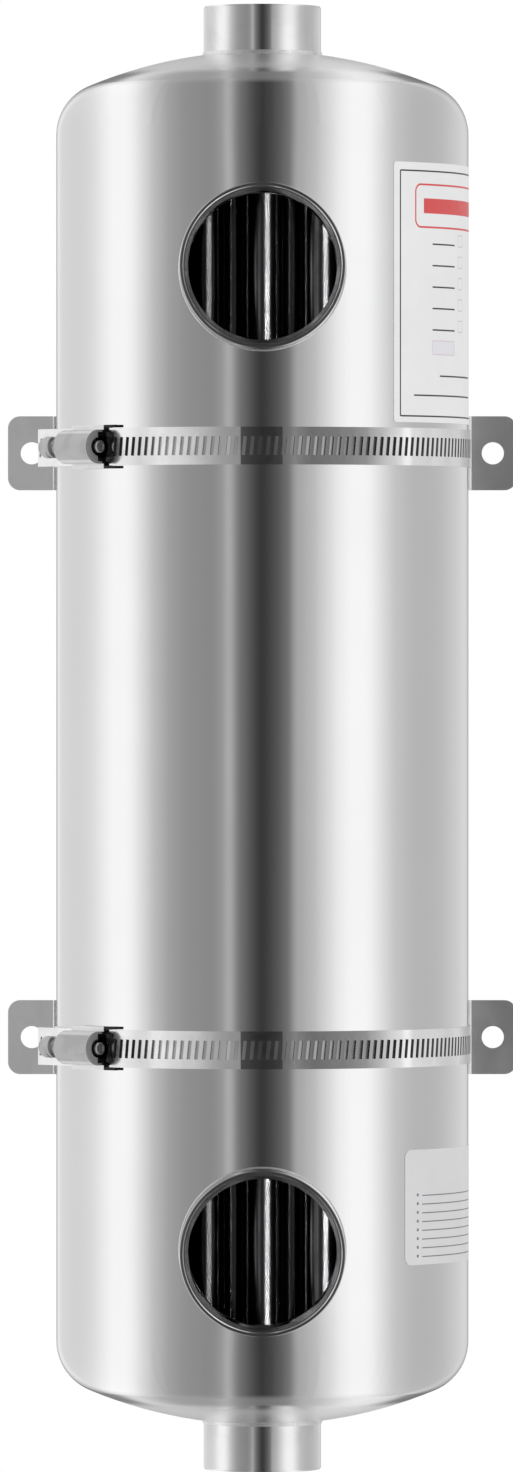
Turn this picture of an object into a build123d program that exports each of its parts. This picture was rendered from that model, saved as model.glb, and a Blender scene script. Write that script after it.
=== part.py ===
from build123d import *
import math
import os

# Shell and tube heat exchanger, wall hung, all in stainless steel.
# Lengths are in millimetres. Z is up and the object faces -Y.
# While the pieces are made, the shell's axis is the Z axis and z = 0 is half way up the shell.
# At the end everything moves so that the origin is on the wall plane, in the centre of the
# lower left screw hole.

# Shell and the two dished heads
shell_radius = 66.5
shell_wall = 2.0
shell_half_length = 194.5
crown_radius = 145.0
knuckle_radius = 17.0

# End sockets, for the water that runs through the tubes
nozzle_radius = 18.9
nozzle_wall = 3.7
nozzle_reach = 14.5
nozzle_sink = 4.0
nozzle_edge = 0.5
nozzle_mouth_bevel = 1.0
nozzle_weld = 0.9

# Side sockets, for the water that runs round the tubes
port_radius = 26.3
port_wall = 2.7
port_reach = 20.0
port_round = 1.3
port_mouth_bevel = 1.2
upper_port_margin = 14.0
lower_port_margin = 1.3

# Tube bundle: a hexagon of nineteen tubes between two tube sheets
tube_radius = 6.5
tube_wall = 0.8
tube_pitch = 18.7
bundle_rings = 2
sheet_thickness = 4.0
sheet_inset = 0.4
tube_overhang = 0.4

# Clamp band, one strip of steel with slanted slots for the worm
band_width = 12.0
band_thickness = 0.7
band_bend_radius = 1.6
tail_angle = 48.0
tail_length = 33.0
lap_angle = 9.6
worm_slot_pitch = 2.55
worm_slot_width = 1.25
worm_slot_height = 6.0
worm_slot_lean = 6.0
worm_slot_margin = 1.6
upper_clamp_margin = 30.3
lower_clamp_margin = 37.4

# Worm screw and its housing, measured along the tail from where it leaves the shell
screw_radius = 3.5
screw_end_round = 2.2
screw_reach = 10.8
screw_setback = 3.0
boss_radius = 2.1
boss_round = 0.6
boss_reach = 1.0
lip_notch_radius = 2.95
lip_rise = 0.2
cover_start = -0.5
cover_length = 15.7
cover_radius = 5.4
cover_wall = 0.7
cover_end_wall = 0.8
cheek_lead = 5.0
cheek_wall = 0.8
cheek_height = 1.5
floor_length = 2.4
floor_wall = 0.4

# Wall brackets, each a strip bent like a low hat
bracket_width = 24.3
bracket_thickness = 1.5
foot_length = 15.7
foot_bend_outset = 1.4
web_bend_inset = 1.9
web_depth = 8.0
foot_corner_radius = 4.0
strip_bend_radius = 1.5
hole_edge_distance = 7.8
hole_radius = 3.65
band_slot_inset = 5.5
band_slot_width = 2.2

# Clearances
weld_gap = 0.05
band_gap = 0.05
slot_play = 0.5
screw_play = 0.15
overrun = 5.0

shell_bore_radius = shell_radius - shell_wall
nozzle_bore_radius = nozzle_radius - nozzle_wall
port_bore_radius = port_radius - port_wall
head_centre_drop = math.sqrt(
    (crown_radius - knuckle_radius) ** 2 - (shell_radius - knuckle_radius) ** 2
)
head_height = crown_radius - head_centre_drop
nozzle_top = shell_half_length + head_height + nozzle_reach
sheet_outer_face = shell_half_length - sheet_inset
sheet_inner_face = sheet_outer_face - sheet_thickness
port_face = shell_radius + port_reach
port_heights = {
    "upper": sheet_inner_face - upper_port_margin - port_radius,
    "lower": lower_port_margin + port_radius - sheet_inner_face,
}
clamp_heights = {
    "upper": port_heights["upper"] - port_radius - upper_clamp_margin,
    "lower": port_heights["lower"] + port_radius + lower_clamp_margin,
}
foot_bend_x = shell_radius + foot_bend_outset
web_bend_x = shell_radius - web_bend_inset
bracket_half_span = foot_bend_x + foot_length
hole_half_spacing = bracket_half_span - hole_edge_distance
band_slot_x = shell_radius - band_slot_inset
band_end_angle = tail_angle + lap_angle
web_front = shell_radius + weld_gap
web_back = web_front + bracket_thickness
wall_plane = web_back + web_depth
band_line_radius = shell_radius + band_gap + band_thickness / 2
band_back = web_back + band_gap + band_thickness / 2


def tube(outer, inner, low, high):
    """A round tube standing on the Z axis between two heights."""
    ring = Circle(outer) - Circle(inner)
    return extrude(Pos(0, 0, low) * ring, high - low)


def head_outline(outset):
    """Half section of a dished head, moved inwards by outset, as a face in the XZ plane.

    The dish is a crown arc that runs into a knuckle arc, and the knuckle runs into the
    shell's wall.
    """
    crown = crown_radius - outset
    knuckle = knuckle_radius - outset
    corner = shell_radius - knuckle_radius
    lean = math.asin(corner / (crown_radius - knuckle_radius))
    half = lean / 2
    rim = (shell_radius - outset, 0)
    top = (0, crown - head_centre_drop)
    join = (crown * math.sin(lean), crown * math.cos(lean) - head_centre_drop)
    crown_middle = (crown * math.sin(half), crown * math.cos(half) - head_centre_drop)
    turn = (math.pi / 2 - lean) / 2
    knuckle_middle = (corner + knuckle * math.cos(turn), knuckle * math.sin(turn))
    edges = [
        Line((0, 0), rim),
        ThreePointArc(rim, knuckle_middle, join),
        ThreePointArc(join, crown_middle, top),
        Line(top, (0, 0)),
    ]
    return Plane.XZ * make_face(edges)


def dished_head():
    """The upper head: a revolved dish of even wall with a hole for its socket."""
    dish = revolve(head_outline(0) - head_outline(shell_wall), Axis.Z)
    hole = Cylinder(nozzle_radius + weld_gap, crown_radius)
    return Pos(0, 0, shell_half_length) * (dish - hole)


def crown_height(radius):
    """Height of the upper head's outer face at a distance from the axis."""
    rise = math.sqrt(crown_radius**2 - radius**2) - head_centre_drop
    return shell_half_length + rise


def end_socket():
    """The upper end socket, a round socket through the crown with a weld round its foot."""
    crown_top = shell_half_length + head_height
    socket = tube(nozzle_radius, nozzle_bore_radius, crown_top - nozzle_sink, nozzle_top)
    rim = socket.edges().filter_by(GeomType.CIRCLE).group_by(Axis.Z)[-1].sort_by(SortBy.RADIUS)
    socket = chamfer(rim[-1], nozzle_edge)
    rim = socket.edges().filter_by(GeomType.CIRCLE).group_by(Axis.Z)[-1].sort_by(SortBy.RADIUS)
    socket = chamfer(rim[0], nozzle_mouth_bevel)
    weld_radius = nozzle_radius + nozzle_weld
    weld = Polyline(
        (nozzle_radius, crown_height(nozzle_radius) + nozzle_weld),
        (nozzle_radius, crown_height(nozzle_radius) + weld_gap),
        (weld_radius, crown_height(weld_radius) + weld_gap),
        close=True,
    )
    return socket + revolve(Plane.XZ * make_face(weld), Axis.Z)


def upside_down(solid):
    return Rot(180, 0, 0) * solid


def forward_cylinder(radius, back, front, height):
    """A round bar that points at -Y, from one distance before the axis to another."""
    bar = extrude(Circle(radius), front - back)
    return Pos(0, -back, height) * Rot(90, 0, 0) * bar


def shell_tube():
    body = tube(shell_radius, shell_bore_radius, -shell_half_length, shell_half_length)
    for height in port_heights.values():
        body -= forward_cylinder(port_radius + weld_gap, 0, port_face, height)
    return body


def side_socket(height):
    """A side socket that goes through the shell's wall and ends flush inside it."""
    bar = forward_cylinder(port_radius, 0, port_face, height)
    bore = forward_cylinder(port_bore_radius, -overrun, port_face + overrun, height)
    inside = Pos(0, 0, height) * Cylinder(shell_bore_radius, 2 * (port_radius + overrun))
    socket = bar - bore - inside
    rim = socket.edges().filter_by(GeomType.CIRCLE).group_by(Axis.Y)[0].sort_by(SortBy.RADIUS)
    socket = fillet(rim[-1], port_round)
    rim = socket.edges().filter_by(GeomType.CIRCLE).group_by(Axis.Y)[0].sort_by(SortBy.RADIUS)
    return chamfer(rim[0], port_mouth_bevel)


def bundle_places():
    """Centres of the tubes, row by row from the front, in a hexagonal pattern."""
    places = []
    row_step = tube_pitch * math.sqrt(3) / 2
    for row in range(-bundle_rings, bundle_rings + 1):
        count = 2 * bundle_rings + 1 - abs(row)
        for place in range(count):
            x = (place - (count - 1) / 2) * tube_pitch
            places.append((x, row * row_step))
    return places


def tube_sheet():
    """The upper tube sheet, a disc in the shell's end with a hole for each tube."""
    disc = Circle(shell_bore_radius - weld_gap)
    for x, y in bundle_places():
        disc -= Pos(x, y) * Circle(tube_radius + weld_gap)
    return extrude(Pos(0, 0, sheet_inner_face) * disc, sheet_thickness)


def bundle_tube(x, y):
    end = sheet_outer_face + tube_overhang
    return Pos(x, y) * tube(tube_radius, tube_radius - tube_wall, -end, end)


def on_band(degrees):
    """Point of the band's middle line at an angle from the front, left being positive."""
    turn = math.radians(degrees)
    return Vector(-band_line_radius * math.sin(turn), -band_line_radius * math.cos(turn))


# Where the band leaves the shell behind its widest place, on its straight way to the slot
slot_distance = math.hypot(band_slot_x, band_back)
slot_bearing = math.degrees(math.atan2(band_back, band_slot_x))
leave_angle = slot_bearing - math.degrees(math.acos(band_line_radius / slot_distance))

tail_turn = math.radians(tail_angle)
tail_start = on_band(tail_angle)
tail_direction = Vector(-math.cos(tail_turn), math.sin(tail_turn))
tail_normal = Vector(-math.sin(tail_turn), -math.cos(tail_turn))


def clamp_band(height):
    """One strip: the tail, round the front, back through the bracket, and up to its fixed end."""
    tail_end = tail_start + tail_direction * tail_length
    right = on_band(-90 - leave_angle)
    left = on_band(90 + leave_angle)
    right_corner = Vector(band_slot_x, band_back)
    left_corner = Vector(-band_slot_x, band_back)
    loop = [
        Line(tail_end, tail_start),
        ThreePointArc(tail_start, on_band((tail_angle - 90 - leave_angle) / 2), right),
    ]
    back = FilletPolyline(right, right_corner, left_corner, left, radius=band_bend_radius)
    fixed = ThreePointArc(left, on_band((90 + leave_angle + band_end_angle) / 2),
                          on_band(band_end_angle))
    path = Curve() + loop + back + fixed
    strip = trace(path, band_thickness)
    band = extrude(strip, band_width / 2, both=True)
    return Pos(0, 0, height) * (band - worm_slots())


def worm_slots():
    """Slanted slots at one pitch, from the tail's end round the front to the right side."""
    cutter = Rot(0, worm_slot_lean, 0) * Box(
        worm_slot_width, 3 * band_thickness, worm_slot_height
    )
    front_length = math.radians(tail_angle + 90) * band_line_radius
    count = int((tail_length + front_length - worm_slot_margin) / worm_slot_pitch)
    slots = []
    for number in range(count):
        along = worm_slot_margin + number * worm_slot_pitch
        if along < tail_length:
            middle = tail_start + tail_direction * (tail_length - along)
            turn = tail_angle
        else:
            turn = tail_angle - math.degrees((along - tail_length) / band_line_radius)
            middle = on_band(turn)
        slots.append(Pos(*middle) * Rot(0, 0, -turn) * cutter)
    return slots


def along_tail(start, end, section):
    """Push a section along the tail. Its X is the outward side and its Y is up."""
    base = tail_start + tail_direction * start
    plane = Plane(origin=base, x_dir=tail_normal, z_dir=tail_direction)
    return extrude(plane * section, end - start)


screw_height = band_thickness / 2 + screw_play + screw_radius
cheek_inside = band_width / 2 + screw_play
cheek_outside = cheek_inside + cheek_wall
cover_end = cover_start + cover_length
cover_inside = cover_radius - cover_wall
cheek_low = -band_thickness / 2 - screw_play - floor_wall


def slab(low, high, half_width):
    """A rectangle of the housing's section, between two heights over the band."""
    return Pos((low + high) / 2, 0) * Rectangle(high - low, 2 * half_width)


def clamp_housing(height):
    """The pressed housing: cheeks beside the band, a floor under it and a round cover.

    A lip closes the upper half of the cover's front end, with a round notch for the boss.
    """
    at = Pos(screw_height, 0)
    cheeks = slab(cheek_low, cheek_height, cheek_outside)
    cheeks -= slab(cheek_low, cheek_height, cheek_inside)
    shoulders = slab(cheek_height - cover_wall, cheek_height, cheek_outside)
    arch = at * Circle(cover_radius) + slab(0, screw_height, cover_radius)
    hollow = at * Circle(cover_inside) + slab(0, screw_height, cover_inside)
    room = slab(cheek_low, cheek_height - cover_wall, cheek_inside)
    below = slab(-cover_radius, screw_height + lip_rise, cover_radius)
    cover = along_tail(cover_start, cover_end, cheeks + (shoulders + arch - hollow - room))
    lead = along_tail(cover_start - cheek_lead, cover_start, cheeks)
    lip = along_tail(
        cover_start,
        cover_start + cover_end_wall,
        at * Circle(cover_radius) - below - at * Circle(lip_notch_radius),
    )
    floor = along_tail(
        cover_end - floor_length,
        cover_end,
        slab(cheek_low, cheek_low + floor_wall, cheek_outside),
    )
    housing = cover + lead + lip + floor
    housing -= Cylinder(band_line_radius + band_thickness / 2 + band_gap, 4 * cheek_outside)
    return Pos(0, 0, height) * housing


def clamp_screw(height):
    """The worm screw: a round shank with a rounded end, and a boss in the lip's notch."""
    at = Pos(screw_height, 0)
    shank_start = cover_start + cover_end_wall + screw_setback
    tip = cover_end + screw_reach
    shank = along_tail(shank_start, tip, at * Circle(screw_radius))
    far_rim = shank.edges().filter_by(GeomType.CIRCLE).sort_by_distance(
        tail_start + tail_direction * tip + tail_normal * screw_height
    )[0]
    shank = fillet(far_rim, screw_end_round)
    boss = along_tail(cover_start - boss_reach, shank_start, at * Circle(boss_radius))
    near_rim = boss.edges().filter_by(GeomType.CIRCLE).sort_by_distance(
        tail_start + tail_direction * (cover_start - boss_reach) + tail_normal * screw_height
    )[0]
    return Pos(0, 0, height) * (shank + fillet(near_rim, boss_round))


def wall_bracket(height):
    """A strip bent like a low hat: two feet on the wall, two steep legs and a web."""
    half = bracket_thickness / 2
    foot_line = wall_plane - half
    web_line = web_front + half
    route = FilletPolyline(
        (-bracket_half_span, foot_line),
        (-foot_bend_x, foot_line),
        (-web_bend_x, web_line),
        (web_bend_x, web_line),
        (foot_bend_x, foot_line),
        (bracket_half_span, foot_line),
        radius=strip_bend_radius,
    )
    strip = extrude(trace(route, bracket_thickness), bracket_width / 2, both=True)
    for side in (-1, 1):
        foot_hole = Cylinder(hole_radius, 2 * bracket_thickness, rotation=(90, 0, 0))
        strip -= Pos(side * hole_half_spacing, foot_line) * foot_hole
        band_slot = Box(band_slot_width, 2 * bracket_thickness, band_width + 2 * slot_play)
        strip -= Pos(side * band_slot_x, web_line) * band_slot
    corners = strip.edges().filter_by(Axis.Y).filter_by(
        lambda edge: abs(edge.center().X) > bracket_half_span - foot_corner_radius / 2
    )
    strip = fillet(corners, foot_corner_radius)
    return Pos(0, 0, height) * strip


nodes = {
    "shell": shell_tube(),
    "upper_head": dished_head(),
    "lower_head": upside_down(dished_head()),
    "upper_nozzle": end_socket(),
    "lower_nozzle": upside_down(end_socket()),
    "upper_tube_sheet": tube_sheet(),
    "lower_tube_sheet": upside_down(tube_sheet()),
}
for where, height in port_heights.items():
    nodes[where + "_port"] = side_socket(height)
for number, (x, y) in enumerate(bundle_places(), 1):
    nodes["tube_%02d" % number] = bundle_tube(x, y)
for where, height in clamp_heights.items():
    nodes[where + "_clamp_band"] = clamp_band(height)
    nodes[where + "_clamp_housing"] = clamp_housing(height)
    nodes[where + "_clamp_screw"] = clamp_screw(height)
    nodes[where + "_wall_bracket"] = wall_bracket(height)

to_origin = Pos(hole_half_spacing, -wall_plane, -clamp_heights["lower"])
os.makedirs("parts", exist_ok=True)
for name, solid in nodes.items():
    placed = to_origin * solid
    solids = placed.solids()
    export_step(solids[0] if len(solids) == 1 else Compound(solids), "parts/" + name + ".step")
    print(name, len(solids), round(sum(s.volume for s in solids), 1))
print("wall plane", round(wall_plane, 3), "head height", round(head_height, 3))
print("nozzle top", round(nozzle_top, 3), "leave angle", round(leave_angle, 3))
print("ports", port_heights, "clamps", clamp_heights, "holes", hole_half_spacing)
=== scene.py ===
# %% [markdown]
# A shell and tube heat exchanger, dressed for its picture. The real one is welded up from
# stainless steel: a polished round shell with two dished heads, a bundle of thin tubes inside,
# four threaded sockets, and two band clamps that hold it to its wall brackets. All the exact
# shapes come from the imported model, so this lesson is about the studio round it, the finish of
# each kind of steel, and the small parts that are easier to model as meshes.

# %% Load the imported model
import math

import bmesh
import bpy
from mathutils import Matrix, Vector


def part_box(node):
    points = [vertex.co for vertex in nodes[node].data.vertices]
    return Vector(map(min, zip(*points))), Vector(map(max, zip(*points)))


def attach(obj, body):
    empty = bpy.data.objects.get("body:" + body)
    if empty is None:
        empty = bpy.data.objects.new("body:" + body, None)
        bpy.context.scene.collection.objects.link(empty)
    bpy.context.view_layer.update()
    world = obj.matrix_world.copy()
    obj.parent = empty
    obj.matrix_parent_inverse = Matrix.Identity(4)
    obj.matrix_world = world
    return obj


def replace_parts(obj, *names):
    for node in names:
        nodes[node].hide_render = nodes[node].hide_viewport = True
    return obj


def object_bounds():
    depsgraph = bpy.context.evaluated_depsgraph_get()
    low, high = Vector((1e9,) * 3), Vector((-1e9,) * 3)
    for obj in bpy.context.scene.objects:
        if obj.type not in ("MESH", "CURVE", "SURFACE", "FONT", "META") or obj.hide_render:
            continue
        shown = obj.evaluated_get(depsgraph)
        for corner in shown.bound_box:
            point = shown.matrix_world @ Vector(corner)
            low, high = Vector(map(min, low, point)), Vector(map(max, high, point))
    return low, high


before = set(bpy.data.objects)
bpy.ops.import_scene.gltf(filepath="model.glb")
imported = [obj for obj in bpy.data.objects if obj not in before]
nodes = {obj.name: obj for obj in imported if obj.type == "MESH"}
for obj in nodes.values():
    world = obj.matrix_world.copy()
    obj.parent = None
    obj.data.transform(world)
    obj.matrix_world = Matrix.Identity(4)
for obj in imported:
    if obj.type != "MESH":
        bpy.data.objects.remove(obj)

MM = 0.001
cad_low, cad_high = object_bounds()
cad_size = [round((high - low) / MM, 1) for low, high in zip(cad_low, cad_high)]
print("The model has", len(nodes), "nodes in a box of", cad_size, "mm")

# %% [markdown]
# Everything below is placed from the shell, the way a fitter would measure: out from its axis,
# and up or down from half its height. The frame gives the corners of any node, so these
# numbers needn't be typed in.

# %% Measure the shell
shell_low, shell_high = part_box("shell")
axis_x = (shell_low.x + shell_high.x) / 2
axis_y = (shell_low.y + shell_high.y) / 2
middle_z = (shell_low.z + shell_high.z) / 2
shell_radius = (shell_high.x - shell_low.x) / 2
print("Shell axis at x %.1f, y %.1f mm, radius %.2f mm"
      % (axis_x / MM, axis_y / MM, shell_radius / MM))

# %% [markdown]
# The camera stands four metres in front of the shell, a little above its middle, so both end
# sockets are seen nearly from the side. A long lens keeps the shell's edges upright. The tilt is
# a third of a degree downwards, which puts the object in the middle of the tall picture without
# any lens shift.

# %% Set up the camera
picture_height = 1472
focal_pixels = 12392
sensor = 36.0
camera_distance = 4.0
camera_aside = 1.9 * MM
camera_rise = 22 * MM
camera_tilt = 0.306


def add_object(name, data):
    """Put a new object into the scene."""
    made = bpy.data.objects.new(name, data)
    bpy.context.scene.collection.objects.link(made)
    return made


camera_data = bpy.data.cameras.new("front_camera")
camera_data.sensor_fit = "AUTO"
camera_data.sensor_width = sensor
camera_data.lens = focal_pixels / picture_height * sensor
camera = add_object("front_camera", camera_data)
camera.location = (axis_x - camera_aside, axis_y - camera_distance, middle_z + camera_rise)
camera.rotation_euler = (math.radians(90 - camera_tilt), 0, 0)
bpy.context.scene.camera = camera
bpy.context.scene.view_settings.view_transform = "Standard"
print("Lens of", round(camera_data.lens, 1), "mm on a sensor of", sensor, "mm")

# %% [markdown]
# Shader nodes are easier to read in a script when a short helper adds and feeds each one. The
# others below are built on it: they do sums with numbers and with directions, ease from one
# level to another, and mix colours. All take numbers or the outputs of other nodes.

# %% Helpers for shader nodes
def feed(tree, node, feeds):
    """Feed a node's inputs with numbers or with the outputs of other nodes."""
    for socket, value in feeds.items():
        if isinstance(value, bpy.types.NodeSocket):
            tree.links.new(value, node.inputs[socket])
        else:
            node.inputs[socket].default_value = value


def add_node(tree, kind, feeds=None, **settings):
    """Add a node, set its options, and feed its inputs."""
    node = tree.nodes.new(kind)
    for option, value in settings.items():
        setattr(node, option, value)
    feed(tree, node, feeds or {})
    return node


def sum_of(tree, operation, *values):
    """One Math node, by its operation, and its output."""
    return add_node(tree, "ShaderNodeMath", dict(enumerate(values)),
                    operation=operation).outputs[0]


def gap_of(tree, first, second):
    """How far apart two numbers are."""
    return sum_of(tree, "ABSOLUTE", sum_of(tree, "SUBTRACT", first, second))


def length_of(tree, first, second):
    """The long side of a square corner with these two short sides."""
    squares = [sum_of(tree, "MULTIPLY", side, side) for side in (first, second)]
    return sum_of(tree, "SQRT", sum_of(tree, "ADD", *squares))


def vector_of(tree, operation, *values):
    """One Vector Math node, by its operation, and its output."""
    node = add_node(tree, "ShaderNodeVectorMath", dict(enumerate(values)), operation=operation)
    return node.outputs["Value" if operation == "DOT_PRODUCT" else "Vector"]


def scaled(tree, vector, factor):
    """A vector made longer or shorter by a factor."""
    return add_node(tree, "ShaderNodeVectorMath", {0: vector, 3: factor},
                    operation="SCALE").outputs[0]


def parts_of(tree, vector):
    """The X, Y and Z parts of a vector."""
    return add_node(tree, "ShaderNodeSeparateXYZ", {0: vector}).outputs


print("Helpers that add nodes and do sums are ready")

# %% Helpers for levels and colours
def ease(tree, value, start, end, low=0.0, high=1.0):
    """Ease from low to high while a value goes from start to end."""
    feeds = {0: value, 1: start, 2: end, 3: low, 4: high}
    return add_node(tree, "ShaderNodeMapRange", feeds,
                    interpolation_type="SMOOTHSTEP").outputs[0]


def fade(tree, value, start, end):
    """Ease from 1 down to 0 while a value goes from start to end."""
    return ease(tree, value, start, end, 1.0, 0.0)


def mix_colours(tree, share, first, second):
    """Go from the first colour to the second as share goes from 0 to 1."""
    feeds = {0: share, 6: first, 7: second}
    return add_node(tree, "ShaderNodeMix", feeds, data_type="RGBA").outputs[2]


def grey(level):
    """A neutral colour of one brightness."""
    return (level, level, level, 1)


print("Helpers that ease and mix are ready")

# %% [markdown]
# Two things below follow a plan along a line: the lights of the studio, and the lie of the
# clamp bands. A plan is a list of places with a level at each, and a colour ramp reads it. A
# ramp runs from 0 to 1 and holds nothing over 1, so the places and levels are written as shares
# of the whole, and the result is scaled up again.

# %% Helper that follows a plan
def follow_plan(tree, place, plan, interpolation):
    """The level at a place, from a plan of (place, level) pairs in rising order."""
    start, end = plan[0][0], plan[-1][0]
    highest = max(level for stop, level in plan)
    feeds = {0: place, 1: start, 2: end}
    share = add_node(tree, "ShaderNodeMapRange", feeds).outputs[0]
    reader = add_node(tree, "ShaderNodeValToRGB", {0: share})
    ramp = reader.color_ramp
    ramp.interpolation = interpolation
    for stop in plan[1:-1]:
        ramp.elements.new((stop[0] - start) / (end - start))
    for element, (stop, level) in zip(ramp.elements, plan):
        element.position = (stop - start) / (end - start)
        element.color = grey(level / highest)
    return sum_of(tree, "MULTIPLY", reader.outputs["Color"], highest)


print("A plan can be followed along a line")

# %% [markdown]
# A polished cylinder shows its studio, so the studio is half of the finish. Here it is drawn as
# a world: tall soft boxes to the left and right, grey walls between them, and a narrow black
# flag in front that gives the dark stripe down the middle of the shell.
#
# Real soft boxes could stand round the object, but they would also get in the way of other
# cameras. A world has no such trouble. Its pattern is laid out by the direction that lies half
# way between the mirrored ray and the front, because that is the way the steel faces where it
# shows the ray.

# %% Start the studio world
world = bpy.data.worlds.new("studio")
bpy.context.scene.world = world
world.use_nodes = True
world.cycles.sampling_method = "NONE"
sky = world.node_tree
sky.nodes.clear()
ray = add_node(sky, "ShaderNodeTexCoord").outputs["Generated"]
half_way = vector_of(sky, "ADD", ray, (0, -1, 0))
facing = parts_of(sky, vector_of(sky, "NORMALIZE", half_way))
print("The world has a direction to read its light by")

# %% [markdown]
# The heads are round at the corner and flatter at the crown, so a stripe of even width in the
# studio would pinch on them. Stretching the pattern by the heads' own curve keeps the stripe as
# wide on the heads as on the shell.

# %% Follow the curve of the heads
corner_radius = 17.0 * MM
crown_radius = 145.0 * MM
corner_share = 1 - corner_radius / shell_radius
level_part = length_of(sky, facing["X"], facing["Y"])
on_corner = sum_of(sky, "ADD", sum_of(sky, "DIVIDE", corner_share, level_part),
                   1 - corner_share)
stretch = sum_of(sky, "MINIMUM", on_corner, crown_radius / shell_radius)
across = sum_of(sky, "MULTIPLY", facing["X"], stretch)
print("The pattern runs from -1 at the shell's left edge to 1 at its right edge")

# %% [markdown]
# The plan of the lights reads like a walk round the room, from behind the left edge, past the
# front, to behind the right edge. Each stop is a place across the shell and the brightness
# there, from -1 at the left edge to 1 at the right edge.

# %% Plan the lights
left_wall = [(-1.00, 0.81), (-0.87, 0.81)]
left_soft_box = [(-0.80, 0.94), (-0.73, 1.13), (-0.66, 1.15), (-0.60, 0.97), (-0.54, 0.70)]
grey_screen = [(-0.47, 0.49), (-0.40, 0.375), (-0.30, 0.322), (-0.235, 0.325)]
left_gap = [(-0.195, 0.40), (-0.165, 0.50), (-0.135, 0.33)]
black_flag = [(-0.112, 0.215), (-0.078, 0.145), (-0.04, 0.08), (0.01, 0.052), (0.097, 0.145)]
right_gap = [(0.136, 0.24), (0.165, 0.44), (0.21, 0.53)]
right_soft_box = [(0.272, 0.68), (0.35, 0.95), (0.42, 1.13), (0.485, 1.15), (0.545, 1.02)]
right_wall = [(0.62, 0.75), (0.70, 0.61), (0.80, 0.575), (0.89, 0.65), (1.00, 0.81)]
light_plan = (left_wall + left_soft_box + grey_screen + left_gap + black_flag + right_gap
              + right_soft_box + right_wall)
walls = follow_plan(sky, across, light_plan, "CARDINAL")
print(len(light_plan), "stops in the plan of the lights")

# %% [markdown]
# Over the top and under the bottom hangs plain pale cloth. It ends the dark stripe just short
# of each end socket, as the edge of the flag does in a real studio, and it throws a dimmer glow
# on the walls below its edge.

# %% Hang cloth above and below
ceiling_light = 0.78
cloth_edge = (0.950, 0.966)
glow_light = 0.55
glow_edge = (0.84, 0.94)
glow_share = 0.30
steepness = sum_of(sky, "ABSOLUTE", facing["Z"])
glow = ease(sky, steepness, *glow_edge, 0.0, glow_share)
glowing_walls = mix_colours(sky, glow, walls, grey(glow_light))
cloth = ease(sky, steepness, *cloth_edge)
hung = mix_colours(sky, cloth, glowing_walls, grey(ceiling_light))
print("Cloth above and below, with a light of", ceiling_light)

# %% [markdown]
# Straight behind the object the half way direction swings round too fast to carry a pattern, so
# a rear wall covers it, with a dark doorway of its own that shows the back as polished too. The
# doorway is as low as it is wide, which keeps it off the crowns of the heads.

# %% Close the studio behind
rear_light = 0.80
rear_edge = (0.84, 0.95)
door_top = (0.30, 0.42)
rear_plan = [(-0.50, rear_light), (-0.30, 0.92), (-0.16, 0.60), (-0.07, 0.24), (0.06, 0.20),
             (0.17, 0.52), (0.32, 0.74), (0.50, rear_light)]
ray_parts = parts_of(sky, ray)
straight_back = ease(sky, ray_parts["Y"], *rear_edge)
doorway = follow_plan(sky, ray_parts["X"], rear_plan, "EASE")
over_door = ease(sky, sum_of(sky, "ABSOLUTE", ray_parts["Z"]), *door_top)
rear = mix_colours(sky, over_door, doorway, grey(rear_light))
mirrored = mix_colours(sky, straight_back, hung, rear)
print("The rear wall has a light of", rear_light, "and a dark doorway")

# %% [markdown]
# The camera sees white all round, and matt surfaces get an even light of a plain strength.
# Only mirrored rays see the soft boxes.

# %% Light the studio
plain_light = 0.86
rays = add_node(sky, "ShaderNodeLightPath").outputs
plain = mix_colours(sky, rays["Is Camera Ray"], grey(plain_light), grey(1.0))
light = mix_colours(sky, rays["Is Glossy Ray"], plain, mirrored)
background = add_node(sky, "ShaderNodeBackground", {"Color": light})
add_node(sky, "ShaderNodeOutputWorld", {"Surface": background.outputs[0]})
print("A plain light of", plain_light, "on matt surfaces")

# %% [markdown]
# The exchanger hangs on a wall, well clear of the floor, so the floor is a pale sheet of paper
# more than half a metre under it that keeps its soft shadow. The paper glows a little for the
# camera alone, which lifts it to the white of the background. The steel doesn't show it, as it
# already mirrors the studio.

# %% Lay the floor
floor_drop = 0.6
floor_reach = 3.0
floor_white = 0.96
floor_rough = 0.9
floor_lift = 0.17


def start_material(name):
    """An empty material, its node tree and its shader."""
    material = bpy.data.materials.new(name)
    material.use_nodes = True
    return material, material.node_tree, material.node_tree.nodes["Principled BSDF"]


floor_mesh = bpy.data.meshes.new("floor")
floor_corners = [(axis_x + floor_reach * side, axis_y + floor_reach * way, cad_low.z - floor_drop)
                 for side, way in ((-1, -1), (1, -1), (1, 1), (-1, 1))]
floor_mesh.from_pydata(floor_corners, [], [(0, 1, 2, 3)])
floor = add_object("floor", floor_mesh)
floor.visible_glossy = False
paper, tree, shader = start_material("floor_paper")
for_camera = add_node(tree, "ShaderNodeLightPath").outputs["Is Camera Ray"]
paper_glow = sum_of(tree, "MULTIPLY", for_camera, floor_lift)
feed(tree, shader, {"Base Color": grey(floor_white), "Roughness": floor_rough,
                    "Specular IOR Level": 0.0, "Emission Color": grey(1.0),
                    "Emission Strength": paper_glow})
floor_mesh.materials.append(paper)
print("Floor", floor_drop, "m below the object")

# %% [markdown]
# A single large lamp from the upper left gives the matt labels a little shape. It doesn't show
# in the steel either.

# %% Hang the lamp
lamp_size = 1.6
lamp_power = 9.0
lamp_way = Vector((1.3, 2.0, -1.6))
lamp_data = bpy.data.lights.new("soft_key", "AREA")
lamp_data.size = lamp_size
lamp_data.energy = lamp_power
lamp = add_object("soft_key", lamp_data)
lamp.location = Vector((axis_x, axis_y, middle_z)) - lamp_way
lamp.rotation_euler = lamp_way.to_track_quat("-Z", "Y").to_euler()
lamp.visible_glossy = False
lamp.visible_camera = False
print("One lamp of", lamp_power, "W")

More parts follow.
